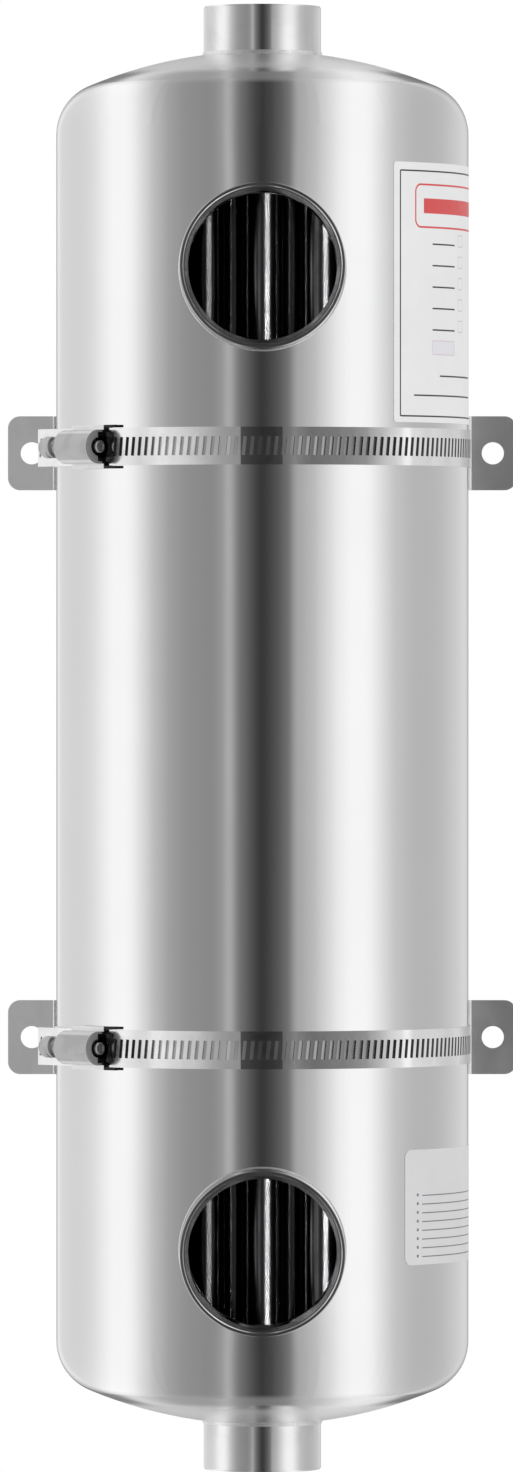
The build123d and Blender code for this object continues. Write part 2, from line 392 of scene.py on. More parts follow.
# %% [markdown]
# Four effects are used by more than one finish, so each is a node group with named inputs and
# outputs: unrolling a place round the shell's axis, the grain that polishing belts leave, the
# uneven film of a handled surface, and a printed frame with round corners.

# %% Helpers for node groups
NUMBER = "NodeSocketFloat"
VECTOR = "NodeSocketVector"


def start_group(name, inputs, outputs):
    """A new shader group. Inputs are (name, socket type, default), outputs (name, type)."""
    group = bpy.data.node_groups.new(name, "ShaderNodeTree")
    for label, kind, default in inputs:
        socket = group.interface.new_socket(label, in_out="INPUT", socket_type=kind)
        socket.default_value = default
    for label, kind in outputs:
        group.interface.new_socket(label, in_out="OUTPUT", socket_type=kind)
    return group, add_node(group, "NodeGroupInput").outputs


def with_spaces(feeds):
    """The same feeds, with a space for each _ in their names."""
    return {label.replace("_", " "): value for label, value in feeds.items()}


def end_group(group, **results):
    """Feed a group's outputs by name, with _ for a space."""
    feeds = with_spaces(results)
    add_node(group, "NodeGroupOutput", feeds)
    print("Group", group.name, "gives", ", ".join(feeds))
    return group


def use_group(tree, group, **feeds):
    """Place a group in a material and feed it by name, with _ for a space."""
    return add_node(tree, "ShaderNodeGroup", with_spaces(feeds), node_tree=group).outputs


print("Node groups can be started, ended and used")

# %% [markdown]
# The grain of a polished tube runs round it or along it, which is awkward to write in X, Y and
# Z. This group unrolls the shell like a sheet: how far round from the front, how far out from
# the axis, and how high, all in millimetres.

# %% Group that unrolls a place round the axis
group, given = start_group(
    "unroll", [("Place", VECTOR, (0, 0, 0)), ("Axis X", NUMBER, 0.0), ("Axis Y", NUMBER, 0.0)],
    [("Unrolled", VECTOR)])
parts = parts_of(group, given["Place"])
side = sum_of(group, "SUBTRACT", parts["X"], given["Axis X"])
depth = sum_of(group, "SUBTRACT", given["Axis Y"], parts["Y"])
out = length_of(group, side, depth)
arc = sum_of(group, "MULTIPLY", sum_of(group, "ARCTAN2", side, depth), out)
unrolled = add_node(group, "ShaderNodeCombineXYZ", {0: arc, 1: out, 2: parts["Z"]}).outputs[0]
unroll_group = end_group(group, Unrolled=scaled(group, unrolled, 1 / MM))

# %% [markdown]
# Polishing belts and lathe tools leave fine lines that are long one way and very narrow the
# other. A noise squeezed to a different size along each direction gives them. Size is the
# length of the marks in millimetres along each direction.

# %% Group for the grain of worked steel
group, given = start_group(
    "steel_grain", [("Place", VECTOR, (0, 0, 0)), ("Size", VECTOR, (1, 1, 1))],
    [("Lines", NUMBER)])
squeezed = vector_of(group, "DIVIDE", given["Place"], given["Size"])
fine = add_node(group, "ShaderNodeTexNoise", {"Vector": squeezed, "Scale": 1.0, "Detail": 3.0,
                                              "Roughness": 0.65})
grain_group = end_group(group, Lines=fine.outputs[0])

# %% [markdown]
# No handled surface is evenly bright. A slow, soft noise stands for the film that fingers and
# wiping cloths leave, and makes some places a touch duller than others.

# %% Group for the film of a handled surface
film_edge = (0.38, 0.66)
group, given = start_group(
    "handled_film", [("Place", VECTOR, (0, 0, 0)), ("Patch", NUMBER, 30.0),
                     ("Clean", NUMBER, 0.1), ("Dull", NUMBER, 0.2)],
    [("Film", NUMBER), ("Roughness", NUMBER)])
shrunk = scaled(group, given["Place"], sum_of(group, "DIVIDE", 1.0, given["Patch"]))
patches = add_node(group, "ShaderNodeTexNoise", {"Vector": shrunk, "Scale": 1.0, "Detail": 4.0,
                                                 "Roughness": 0.55, "Distortion": 0.6})
film = ease(group, patches.outputs[0], *film_edge)
spread = sum_of(group, "SUBTRACT", given["Dull"], given["Clean"])
film_group = end_group(group, Film=film, Roughness=sum_of(
    group, "MULTIPLY_ADD", film, spread, given["Clean"]))

# %% [markdown]
# The labels carry printed frames with round corners. The distance from a rounded rectangle is
# short to work out, and a line is wherever that distance is near zero.

# %% Group for a printed frame
ink_edge = 0.06
group, given = start_group(
    "printed_frame", [("Place", VECTOR, (0, 0, 0)), ("Middle", VECTOR, (0, 0, 0)),
                      ("Half Size", VECTOR, (1, 1, 1)), ("Corner", NUMBER, 1.0),
                      ("Line", NUMBER, 0.5)],
    [("Ink", NUMBER), ("Inside", NUMBER)])
moved = vector_of(group, "SUBTRACT", given["Place"], given["Middle"])
folded = vector_of(group, "ABSOLUTE", moved)
past = parts_of(group, vector_of(group, "SUBTRACT", folded, given["Half Size"]))
beyond = [sum_of(group, "ADD", past[way], given["Corner"]) for way in ("X", "Z")]
outside_gap = length_of(group, *[sum_of(group, "MAXIMUM", reach, 0.0) for reach in beyond])
inside_gap = sum_of(group, "MINIMUM", sum_of(group, "MAXIMUM", *beyond), 0.0)
gap = sum_of(group, "SUBTRACT", sum_of(group, "ADD", outside_gap, inside_gap), given["Corner"])
half_line = sum_of(group, "MULTIPLY", given["Line"], 0.5)
from_line = sum_of(group, "SUBTRACT", sum_of(group, "ABSOLUTE", gap), half_line)
frame_group = end_group(group, Ink=fade(group, from_line, -ink_edge, ink_edge),
                        Inside=fade(group, gap, -ink_edge, ink_edge))

# %% [markdown]
# All the metal here is bare stainless steel, and what differs from part to part is how it was
# worked. One function makes such a finish from its colour, how clean and how dull it gets, and
# the size and depth of its grain. Round parts are unrolled first, so that their grain follows
# them.

# %% Function that makes a steel
steel_blue = 0.005


def steel_grey(level):
    """The colour of bare stainless steel, a touch bluer than grey."""
    return (level, level, level + steel_blue, 1)


def place_on(tree, centre=None):
    """The place on the object in millimetres, unrolled round an upright axis if one is given."""
    place = add_node(tree, "ShaderNodeTexCoord").outputs["Object"]
    if centre is None:
        return scaled(tree, place, 1 / MM)
    return use_group(tree, unroll_group, Place=place, Axis_X=centre[0],
                     Axis_Y=centre[1])["Unrolled"]


def make_steel(name, bright, dim, clean, dull, patch, grain, cut, centre=None):
    """A bare steel, with its grain unrolled round an upright axis if one is given."""
    material, tree, shader = start_material(name)
    place = place_on(tree, centre)
    film = use_group(tree, film_group, Place=place, Patch=patch, Clean=clean, Dull=dull)
    lines = use_group(tree, grain_group, Place=place, Size=grain)["Lines"]
    bump = add_node(tree, "ShaderNodeBump", {"Height": lines, "Distance": cut * MM,
                                             "Strength": 1.0})
    feed(tree, shader, {"Metallic": 1.0, "Roughness": film["Roughness"],
                        "Base Color": mix_colours(tree, film["Film"], bright, dim),
                        "Normal": bump.outputs[0]})
    print("Steel", name, "with a roughness of", clean, "to", dull)
    return material


print("Steels can be made")

# %% [markdown]
# Some steels change from place to place, with grime, oxide or the marks of a brush. Such a steel
# is opened up again: its places are read, and it is painted over or made rougher where a share
# of them is 1.

# %% Functions that change a steel
def open_steel(material, centre=None):
    """A steel's node tree, and how far round, out and up a place on it is."""
    tree = material.node_tree
    return tree, parts_of(tree, place_on(tree, centre))


def recolour(tree, share, colour):
    """Paint a steel over with another colour where share is 1."""
    socket = tree.nodes["Principled BSDF"].inputs["Base Color"]
    tree.links.new(mix_colours(tree, share, socket.links[0].from_socket, colour), socket)


def roughen(tree, share, extra):
    """Make a steel rougher where share is 1."""
    socket = tree.nodes["Principled BSDF"].inputs["Roughness"]
    tree.links.new(sum_of(tree, "MULTIPLY_ADD", share, extra, socket.links[0].from_socket), socket)


def dress(material, *names):
    """Give a material to CAD nodes."""
    for name in names:
        slots = nodes[name].data.materials
        slots.clear()
        slots.append(material)
    print(material.name, "on", len(names), "nodes")


print("Steels can be painted over, made rougher and put on")

# %% [markdown]
# Three finishes depend on how near a place is to one of the two clamps, so their heights are
# worked out first, in millimetres like all the places in the materials.

# %% Find the clamps
clamp_heights = [sum(corner.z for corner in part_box(where + "_clamp_screw")) / 2 / MM
                 for where in ("upper", "lower")]


def from_clamp(tree, height):
    """How far a height is from the nearer clamp's middle."""
    return sum_of(tree, "MINIMUM", *[gap_of(tree, height, middle) for middle in clamp_heights])


print("Clamps at heights of", [round(height, 1) for height in clamp_heights], "mm")

# %% [markdown]
# The shell is mirror polished with belts that ran up and down, so its faint grain is tall and
# narrow. Inside, nobody polished it, so it is dull, and it is painted dark as painted shade of
# the deep inside. Under the bands no cloth ever reaches it, and away from the front the shell
# there is painted darker, partly grime and partly painted shade of the bands, which shows
# through the bands' slots. The edges of each place are in millimetres: down from the outer
# surface, up or down from a clamp's middle, and round from the front.

# %% Finish the shell
inner_depth, outer_depth = 1.6, 0.6
slot_edge = (4.6, 5.2)
left_grime_and_shade = (-45.0, -33.0)
right_grime_and_shade = (3.0, 38.0)
slots_end = (98.0, 101.0)
inner_painted_shade, unpolished_rough = grey(0.10), 0.45
grime_and_painted_shade, grimy_rough = grey(0.13), 0.35
shell_axis = (axis_x, axis_y)
polished = make_steel(
    "polished_shell", steel_grey(0.80), steel_grey(0.79), clean=0.05, dull=0.085, patch=45.0,
    grain=(0.35, 40.0, 60.0), cut=0.0006, centre=shell_axis)
tree, parts = open_steel(polished, shell_axis)
bore_side = fade(tree, parts["Y"], shell_radius / MM - inner_depth,
                 shell_radius / MM - outer_depth)
# The inside is painted dark, a painted shade of the deep inside of the shell.
recolour(tree, bore_side, inner_painted_shade)
roughen(tree, bore_side, unpolished_rough)
near_clamp = fade(tree, from_clamp(tree, parts["Z"]), *slot_edge)
on_sides = sum_of(tree, "MAXIMUM", fade(tree, parts["X"], *left_grime_and_shade),
                  ease(tree, parts["X"], *right_grime_and_shade))
past_slots = ease(tree, sum_of(tree, "ABSOLUTE", parts["X"]), *slots_end)
# Under the bands, away from the front, the shell is painted darker: partly grime, partly painted
# shade of the bands.
grime_and_shade_share = sum_of(tree, "MULTIPLY", near_clamp, sum_of(tree, "SUBTRACT", on_sides, past_slots))
recolour(tree, grime_and_shade_share, grime_and_painted_shade)
roughen(tree, grime_and_shade_share, grimy_rough)
dress(polished, "shell")

# %% [markdown]
# The heads are polished too, with grain that runs up and down their corners. On each head the
# welder brushed the crown round the end socket to take the heat marks off, so the crown is
# satin, and it mirrors no more of the socket than a blur. The satin crown is also painted a
# paler colour, a painted light that lifts that blur to pale. The edge of the brushing is in
# millimetres from the shell's axis.

# %% Finish the heads
brush_edge = (42.0, 52.0)
painted_light_crown, satin_rough = grey(0.97), 0.30
head_polish = make_steel(
    "polished_heads", steel_grey(0.80), steel_grey(0.79), clean=0.05, dull=0.085, patch=45.0,
    grain=(6.0, 0.4, 0.4), cut=0.0004, centre=shell_axis)
tree, parts = open_steel(head_polish, shell_axis)
brushed = fade(tree, parts["Y"], *brush_edge)
roughen(tree, brushed, satin_rough)
# The paler colour of the brushed crown is painted light.
recolour(tree, brushed, painted_light_crown)
dress(head_polish, "upper_head", "lower_head")

# %% [markdown]
# The sockets are turned on a lathe, so their grain is rings round the bore. For the end sockets
# the rings lie level, and for the side sockets they follow the socket's own axis, which points
# at the viewer.

# %% Finish the sockets
turned_end = make_steel(
    "turned_end_socket", steel_grey(0.78), steel_grey(0.72), clean=0.07, dull=0.12, patch=12.0,
    grain=(30.0, 0.15, 0.15), cut=0.0008, centre=shell_axis)
turned_side = make_steel(
    "turned_side_socket", steel_grey(0.74), steel_grey(0.66), clean=0.08, dull=0.16, patch=12.0,
    grain=(9.0, 0.15, 9.0), cut=0.0008)

# %% [markdown]
# The tubes are drawn, with faint scratches along them. Their colour is painted dark, a painted
# shade for the deep bundle, which takes most of the shine out of what one tube mirrors in the
# next. The tubes on the left are painted darker still, a painted shade, up to an edge in
# millimetres from the shell's axis. The tube sheets are machined and then dulled by water.

# %% Finish the tube bundle
left_shade_edge = (-14.0, -10.0)
left_tube_shade = grey(0.055)
# The tubes' dark colour is painted shade for the deep bundle.
drawn = make_steel(
    "drawn_tube", steel_grey(0.19), steel_grey(0.15), clean=0.15, dull=0.20, patch=9.0,
    grain=(0.25, 0.25, 50.0), cut=0.0006)
tree, parts = open_steel(drawn)
from_axis = sum_of(tree, "SUBTRACT", parts["X"], axis_x / MM)
# The tubes on the left are painted darker, a painted shade.
recolour(tree, fade(tree, from_axis, *left_shade_edge), left_tube_shade)
sheet_steel = make_steel(
    "tube_sheet_steel", steel_grey(0.56), steel_grey(0.44), clean=0.28, dull=0.42, patch=14.0,
    grain=(0.4, 0.4, 0.4), cut=0.01)
tube_names = [name for name in nodes if name.startswith("tube_")]
dress(drawn, *tube_names)
dress(sheet_steel, "upper_tube_sheet", "lower_tube_sheet")

# %% [markdown]
# In so deep a hole the tubes would hardly be seen, so the photographer gives them lights of
# their own: a soft strip for each side socket, on the right, that draws one bright line down
# each tube. Light linking keeps the strips off everything else: only the tubes receive them, and
# only the tubes can shade them. A ray that leaves a tube at random would still be stopped by
# the socket, so the strips are only looked for directly.

# %% Light the tubes
tube_collection = bpy.data.collections.new("tube_bundle")
for name in tube_names:
    tube_collection.objects.link(nodes[name])
strip_turn = math.radians(27.0)
strip_distance = 1.0
strip_light = 4.6
strip_width, strip_height = 0.44, 0.22
for where in ("upper", "lower"):
    port_height = sum(corner.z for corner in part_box(where + "_port")) / 2
    strip_data = bpy.data.lights.new(where + "_tube_strip", "AREA")
    strip_data.shape = "RECTANGLE"
    strip_data.size = strip_width
    strip_data.size_y = strip_height
    strip_data.energy = strip_light * math.pi * strip_width * strip_height
    strip_data.cycles.use_multiple_importance_sampling = False
    strip = add_object(where + "_tube_strip", strip_data)
    strip_rise = (port_height - camera.location.z) * strip_distance / camera_distance
    strip.location = (axis_x + strip_distance * math.sin(strip_turn),
                      axis_y - strip_distance * math.cos(strip_turn), port_height + strip_rise)
    strip.rotation_euler = (math.pi / 2, 0, strip_turn)
    strip.light_linking.receiver_collection = tube_collection
    strip.light_linking.blocker_collection = tube_collection
    strip.visible_camera = False
    print(where, "strip of %.2f W for" % strip_data.energy, len(tube_names), "tubes")

# %% [markdown]
# A thin strip is never as round as the tube it is pulled round: it lies in flats, and a flat
# mirrors one part of the room over its whole length. The mesh can stay round if only its normal
# leans. A slope of 0.1 leans it to the left by a tenth of its length.

# %% Function that leans a surface
def lean(tree, slope):
    """Lean a steel's normal to the left by a slope, under the grain of its bump."""
    normal = add_node(tree, "ShaderNodeTexCoord").outputs["Normal"]
    rightwards = vector_of(tree, "CROSS_PRODUCT", (0, 0, 1), normal)
    leftwards = scaled(tree, rightwards, sum_of(tree, "MULTIPLY", slope, -1.0))
    unit = vector_of(tree, "NORMALIZE", vector_of(tree, "ADD", normal, leftwards))
    grain_bump = tree.nodes["Principled BSDF"].inputs["Normal"].links[0].from_node
    tree.links.new(unit, grain_bump.inputs["Normal"])


print("Steels can lean")

# %% [markdown]
# At the left, each band leaves the shell and runs straight on through its housing. Two
# directions measure places there: how far along this tail, and how far out from it. The tail
# leaves the shell 48 degrees left of the front, just outside the band's middle line.

# %% Measure along the tail
tail_turn = math.radians(48)
tail_radius = 66.9 * MM
tail_outward = Vector((-math.sin(tail_turn), -math.cos(tail_turn), 0))
tail_way = Vector((-math.cos(tail_turn), math.sin(tail_turn), 0))


def tail_place(tree):
    """How far along the tail and how far out from it a place is, in millimetres."""
    aside = vector_of(tree, "SUBTRACT", place_on(tree), (axis_x / MM, axis_y / MM, 0))
    along = vector_of(tree, "DOT_PRODUCT", aside, tail_way)
    outward = vector_of(tree, "DOT_PRODUCT", aside, tail_outward)
    return along, sum_of(tree, "SUBTRACT", outward, tail_radius / MM)


print("The tail starts", round(tail_radius / MM, 1), "mm from the shell's axis")

# %% [markdown]
# The clamp bands are rolled strip with long lines round the shell. The plan gives how each lies,
# in millimetres round from the front: nearly flat at the left, where it mirrors the grey screen
# and then the left soft box, and nearly flat from the front to half way round to the right,
# where it mirrors the edge of the black flag. The short piece between them is painted darker, a
# painted reflection of the black flag.
# Where the strip shows in the housing's mouth it is painted nearly black, a painted shade of the
# mouth, in a round patch as long and as high as its two reaches.

# %% Finish the bands
left_lie = [(-60.0, 0.0), (-42.0, 0.0), (-34.0, 0.165), (-21.0, 0.253), (-7.3, 0.27),
            (-7.0, 0.0)]
middle_lie = [(6.5, 0.0), (10.3, 0.017), (16.0, 0.13), (34.7, 0.378)]
right_lie = [(43.7, 0.358), (48.5, 0.39), (53.6, 0.19), (72.0, 0.45), (82.0, 0.667),
             (94.0, 0.667), (104.0, 0.0)]
flag_reflection_middle = -0.3
flag_reflection_edge = (6.5, 6.9)
painted_flag_reflection = grey(0.30)
mouth_shade_middle = -64.0
mouth_shade_reach = 8.5
mouth_shade_height = 13.0
mouth_shade_edge = (0.94, 1.02)
mouth_shade = grey(0.02)
rolled = make_steel(
    "rolled_band", steel_grey(0.78), steel_grey(0.72), clean=0.14, dull=0.22, patch=10.0,
    grain=(14.0, 0.5, 0.18), cut=0.002, centre=shell_axis)
tree, parts = open_steel(rolled, shell_axis)
lean(tree, follow_plan(tree, parts["X"], left_lie + middle_lie + right_lie, "LINEAR"))
round_share = sum_of(tree, "DIVIDE", sum_of(tree, "SUBTRACT", parts["X"], mouth_shade_middle),
                     mouth_shade_reach)
up_share = sum_of(tree, "DIVIDE", from_clamp(tree, parts["Z"]), mouth_shade_height)
from_mouth_shade = length_of(tree, round_share, up_share)
# The strip in the housing's mouth is painted nearly black, a painted shade.
recolour(tree, fade(tree, from_mouth_shade, *mouth_shade_edge), mouth_shade)
# The piece facing the flag is painted darker, a painted reflection of the black flag.
from_flag_reflection = gap_of(tree, parts["X"], flag_reflection_middle)
recolour(tree, fade(tree, from_flag_reflection, *flag_reflection_edge), painted_flag_reflection)
dress(rolled, "upper_clamp_band", "lower_clamp_band")

# %% [markdown]
# The housings are pressed from the same steel. Pressing leaves their crowns grey and rough. The
# two long shoulders are painted lighter, a painted highlight, and the cut face of the lip over
# the screw is painted lighter too, a painted highlight. The low cheeks in front of the lip are
# painted nearly black, a painted shade, like the band between them. Their edges are in
# millimetres from the clamp's middle, along the tail, and out from it.

# %% Finish the housings
shoulder_edge = (3.9, 4.7)
cheek_edge = (-0.35, -0.15)
lip_edge = (2.2, 2.6)
cheek_shade = grey(0.03)
shoulder_highlight, lip_highlight = steel_grey(0.72), steel_grey(0.56)
pressed = make_steel(
    "pressed_housing", steel_grey(0.44), steel_grey(0.41), clean=0.32, dull=0.40, patch=8.0,
    grain=(0.5, 0.5, 0.5), cut=0.003)
tree, parts = open_steel(pressed)
along, rise = tail_place(tree)
# The long shoulders are painted lighter, a painted highlight.
shoulder_highlight_share = ease(tree, from_clamp(tree, parts["Z"]), *shoulder_edge)
recolour(tree, shoulder_highlight_share, shoulder_highlight)
# The cheeks in front of the lip are painted nearly black, a painted shade.
in_front = fade(tree, along, *cheek_edge)
recolour(tree, in_front, cheek_shade)
# The cut face of the lip is painted lighter, a painted highlight.
lip_face = sum_of(tree, "MULTIPLY", in_front, ease(tree, rise, *lip_edge))
recolour(tree, lip_face, lip_highlight)
dress(pressed, "upper_clamp_housing", "lower_clamp_housing")

# %% [markdown]
# The wall brackets are cut from satin strip and left as they come, so their grain runs the
# length of the strip and their shine is soft. Their feet never spring back quite flat after
# bending: past the bend, in millimetres from the shell's axis, the left foot is turned towards
# the left wall, which makes it the lighter one.

# %% Finish the brackets
left_turn = math.tan(math.radians(22))
right_turn = math.tan(math.radians(-1.5))
bend_start, bend_end = 63.0, 66.0
satin = make_steel(
    "satin_bracket", grey(0.86), grey(0.78), clean=0.30, dull=0.36, patch=16.0,
    grain=(12.0, 0.3, 0.2), cut=0.006)
tree, parts = open_steel(satin)
from_axis = sum_of(tree, "SUBTRACT", parts["X"], axis_x / MM)
left_foot = ease(tree, from_axis, -bend_end, -bend_start, left_turn, 0.0)
right_foot = ease(tree, from_axis, bend_start, bend_end, 0.0, right_turn)
lean(tree, sum_of(tree, "ADD", left_foot, right_foot))
dress(satin, "upper_wall_bracket", "lower_wall_bracket")

# %% [markdown]
# Nearly every small part here is round, so two helpers go round in equal steps: one the whole
# way, for rings and bores, and one a quarter of it, for rounded edges.

# %% Helpers that go round
def turns_round(count):
    """Equal turns the whole way round."""
    return [math.tau * step / count for step in range(count)]


def quarter_turns(steps):
    """Turns from none to a quarter."""
    return [math.pi / 2 * step / steps for step in range(steps + 1)]


print("A quarter in four steps, in degrees:", [math.degrees(turn) for turn in quarter_turns(4)])

# %% [markdown]
# Threads, weld beads, worms and labels are all the same kind of mesh: closed rings of points,
# one after another, skinned over. One function makes them all. A piece that goes the whole way
# round joins its last ring to its first, and any other piece gets a flat cap at each end.

# %% Function that skins rings of points
sharp_angle = math.radians(32)


def skin_rings(name, rings, material, whole_way_round=False):
    """Skin closed rings of points into one mesh that rides on the exchanger."""
    size = len(rings[0])
    faces = []
    for number in range(len(rings) if whole_way_round else len(rings) - 1):
        here = number * size
        there = (number + 1) % len(rings) * size
        for place in range(size):
            after = (place + 1) % size
            faces.append((here + place, here + after, there + after, there + place))
    if not whole_way_round:
        last = (len(rings) - 1) * size
        faces.append(tuple(range(size)))
        faces.append(tuple(range(last, last + size)))
    mesh = bpy.data.meshes.new(name)
    mesh.from_pydata([point for ring in rings for point in ring], [], faces)
    skin = bmesh.new()
    skin.from_mesh(mesh)
    bmesh.ops.recalc_face_normals(skin, faces=skin.faces)
    skin.to_mesh(mesh)
    skin.free()
    mesh.shade_smooth()
    mesh.set_sharp_from_angle(angle=sharp_angle)
    mesh.materials.append(material)
    piece = add_object(name, mesh)
    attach(piece, "root")
    print("Skinned", name, "with", len(faces), "faces")
    return piece


print("Rings can be skinned, with edges sharp from", round(math.degrees(sharp_angle)), "degrees")

# %% [markdown]
# A pipe thread is a groove that winds down the bore, and the model's bores are plain, at the
# size of the thread's crests. Each socket is skinned again with the groove in it: column by
# column round the bore, the groove lies a little deeper down the bore each time.

# %% Functions that wind a thread
pipe_pitch = 2.309 * MM
pipe_groove = 1.15 * MM
rows_per_turn = 9
bevel_steps = 5


def groove_depth(turn, along, start, end, pitch):
    """How deep a thread cuts, from 0 to 1, at a turn round it and a distance along it."""
    share = (along / pitch - turn / math.tau) % 1.0
    level = 1 - abs(2 * share - 1)
    lead = max(min((along - start) / pitch, (end - along) / pitch, 1.0), 0.0)
    return level * level * (3 - 2 * level) * lead


def thread_rows(start, end, pitch):
    """Distances along a thread, close enough to show its shape."""
    count = round((end - start) / pitch * rows_per_turn)
    return [start + (end - start) * row / count for row in range(count + 1)]


def thread_points(turn, bore, first, start, end):
    """A pipe thread's section at a turn, as (out, back) places from its first row to its end."""
    return [(bore + pipe_groove * groove_depth(turn, along, start, end, pipe_pitch), along)
            for along in thread_rows(first, end, pipe_pitch)]


def bevel_points(edge, size):
    """A rounded edge as (out, back) steps from the outer wall to the face."""
    return [(edge - size + size * math.cos(turn), size - size * math.sin(turn))
            for turn in quarter_turns(bevel_steps)]


print("A pipe thread can be wound, with a pitch of", round(pipe_pitch / MM, 3), "mm")

# %% [markdown]
# A side socket is a short pipe whose back end is cut to the curve of the shell. From its outer
# wall, the section goes over a small round edge and a flat face, down a thin bevel to a ledge,
# and then down a steep mouth into the thread.

# %% Thread the side sockets
socket_columns = 128
port_wall = 2.7 * MM
port_round = 0.25 * MM
port_face_width = 0.75 * MM
port_bevel = 0.32 * MM
port_ledge = 0.34 * MM
port_mouth = 1.6 * MM
port_thread_end = 17.5 * MM
shell_bore = shell_radius - 2.0 * MM


def side_socket(name):
    """A threaded side socket in place of the plain one."""
    low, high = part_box(name)
    middle_x = (low.x + high.x) / 2
    height = (low.z + high.z) / 2
    outer = (high.x - low.x) / 2
    bore = outer - port_wall
    rings = []
    for turn in turns_round(socket_columns):
        side, up = math.sin(turn), math.cos(turn)
        outer_back = axis_y - math.sqrt(shell_bore ** 2 - (outer * side) ** 2) - low.y
        bore_back = axis_y - math.sqrt(shell_bore ** 2 - (bore * side) ** 2) - low.y
        section = [(outer, outer_back)] + bevel_points(outer, port_round)
        edge = outer - port_round - port_face_width
        section += [(edge, 0.0), (edge - port_bevel, port_bevel),
                    (edge - port_bevel - port_ledge, port_bevel)]
        section += thread_points(turn, bore, port_mouth, port_mouth, port_thread_end)
        section.append((bore, bore_back))
        rings.append([(middle_x + reach * side, low.y + back, height + reach * up)
                      for reach, back in section])
    return skin_rings(name.replace("_port", "_side_socket"), rings, turned_side,
                      whole_way_round=True)


for where in ("upper", "lower"):
    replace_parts(side_socket(where + "_port"), where + "_port")

# %% [markdown]
# An end socket stands on the crown of a head. Its section is simpler, because both its ends
# are flat: a broken outer edge, a bevelled mouth and the thread.

# %% Thread the end sockets
end_columns = 96
nozzle_radius = 18.9 * MM
nozzle_bore = 15.2 * MM
nozzle_edge = 0.5 * MM
nozzle_bevel = 1.0 * MM


def end_socket(name, way):
    """A threaded end socket in place of the plain one. Way is 1 for up and -1 for down."""
    low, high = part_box(name)
    mouth = high.z if way > 0 else low.z
    length = high.z - low.z
    rings = []
    for turn in turns_round(end_columns):
        section = [(nozzle_radius, length), (nozzle_radius, nozzle_edge)]
        section += [(nozzle_radius - nozzle_edge, 0.0), (nozzle_bore + nozzle_bevel, 0.0)]
        section += thread_points(turn, nozzle_bore, nozzle_bevel, 0.0, length)
        rings.append([(axis_x + reach * math.sin(turn), axis_y + reach * math.cos(turn),
                       mouth - way * along) for reach, along in section])
    return skin_rings(name.replace("_nozzle", "_end_socket"), rings, turned_end,
                      whole_way_round=True)


for where, way in (("upper", 1), ("lower", -1)):
    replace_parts(end_socket(where + "_nozzle", way), where + "_nozzle")

# %% [markdown]
# Every socket is welded on, and a weld follows the seam between two parts. Round a side socket
# the seam is the saddle that the socket makes with the shell, and round an end socket it is a
# plain circle on the crown.

# %% Find the seams
def on_saddle(turn, radius, height):
    """A place where a side socket meets the shell, and the ways outward and forward there."""
    side = radius * math.sin(turn)
    front = axis_y - math.sqrt(shell_radius ** 2 - side ** 2)
    return (Vector((axis_x + side, front, height + radius * math.cos(turn))),
            Vector((math.sin(turn), 0, math.cos(turn))), Vector((0, -1, 0)))


def on_crown(turn, radius, height, way):
    """A place where an end socket meets its head, and the ways outward and endward there."""
    outward = Vector((math.sin(turn), math.cos(turn), 0))
    return (Vector((axis_x, axis_y, height)) + radius * outward, outward, Vector((0, 0, way)))


print("The seams of side and end sockets can be followed")

# %% [markdown]
# The weld is brushed smooth. What is left of its scales is a faint ripple, so a bead here is a
# thin ring whose thickness rises and falls a little along its way, taller than it is wide.
# Brushed steel mirrors nothing sharply, so it looks pale all round.

# %% Lay the weld beads
bead_points = 10
columns_per_scale = 4
scale_length = 1.3 * MM
scale_rise = 0.03
side_bead = 0.35 * MM
side_rise = 0.45 * MM
end_bead = 0.35 * MM
end_rise = 1.05 * MM
nozzle_reach = 14.5 * MM
weld_steel = make_steel(
    "weld_steel", grey(0.86), grey(0.76), clean=0.36, dull=0.46, patch=4.0,
    grain=(0.6, 0.6, 0.6), cut=0.004)


def weld_bead(name, radius, reach, rise, seam, *seat):
    """A rippled bead by its reach and rise. The seam gives its places, by its radius and seat."""
    scales = round(math.tau * radius / scale_length)
    rings = []
    for turn in turns_round(scales * columns_per_scale):
        centre, outward, forward = seam(turn, radius, *seat)
        swell = 1 + scale_rise * abs(math.sin(turn * scales / 2))
        rings.append([
            centre + swell * (reach * math.cos(a) * outward + rise * math.sin(a) * forward)
            for a in turns_round(bead_points)])
    return skin_rings(name, rings, weld_steel, whole_way_round=True)


for where, way in (("upper", 1), ("lower", -1)):
    low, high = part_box(where + "_port")
    side_reach = (high.x - low.x) / 2 + side_bead / 4
    weld_bead(where + "_side_weld", side_reach, side_bead, side_rise, on_saddle,
              (low.z + high.z) / 2)
    low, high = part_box(where + "_nozzle")
    mouth = high.z if way > 0 else low.z
    end_reach = nozzle_radius + end_bead / 3
    dip = crown_radius - math.sqrt(crown_radius ** 2 - end_reach ** 2)
    weld_bead(where + "_end_weld", end_reach, end_bead, end_rise, on_crown,
              mouth - way * (nozzle_reach + dip), way)

# %% [markdown]
# The worm screws stand for their plain bars. Each starts with a small round boss that shows in
# the housing's notch, winds through the cover as a worm with the same pitch as the band's
# slots, and ends in a plain round head with a domed end. The screws are plated, and greyer
# than the housings.

# %% Wind the worm screws
worm_points = 48
worm_pitch = 2.55 * MM
worm_crest = 3.5 * MM
worm_root = 2.7 * MM
boss_radius = 2.1 * MM
boss_front = -1.5 * MM
worm_start = 3.3 * MM
worm_end = 21.6 * MM
screw_tip = 26.0 * MM
tip_round = 2.2 * MM
tip_steps = 6
screw_lift = 4.0 * MM
skyward = Vector((0, 0, 1))
plated = make_steel(
    "plated_screw", steel_grey(0.44), steel_grey(0.40), clean=0.26, dull=0.34, patch=5.0,
    grain=(0.4, 0.4, 0.4), cut=0.004)


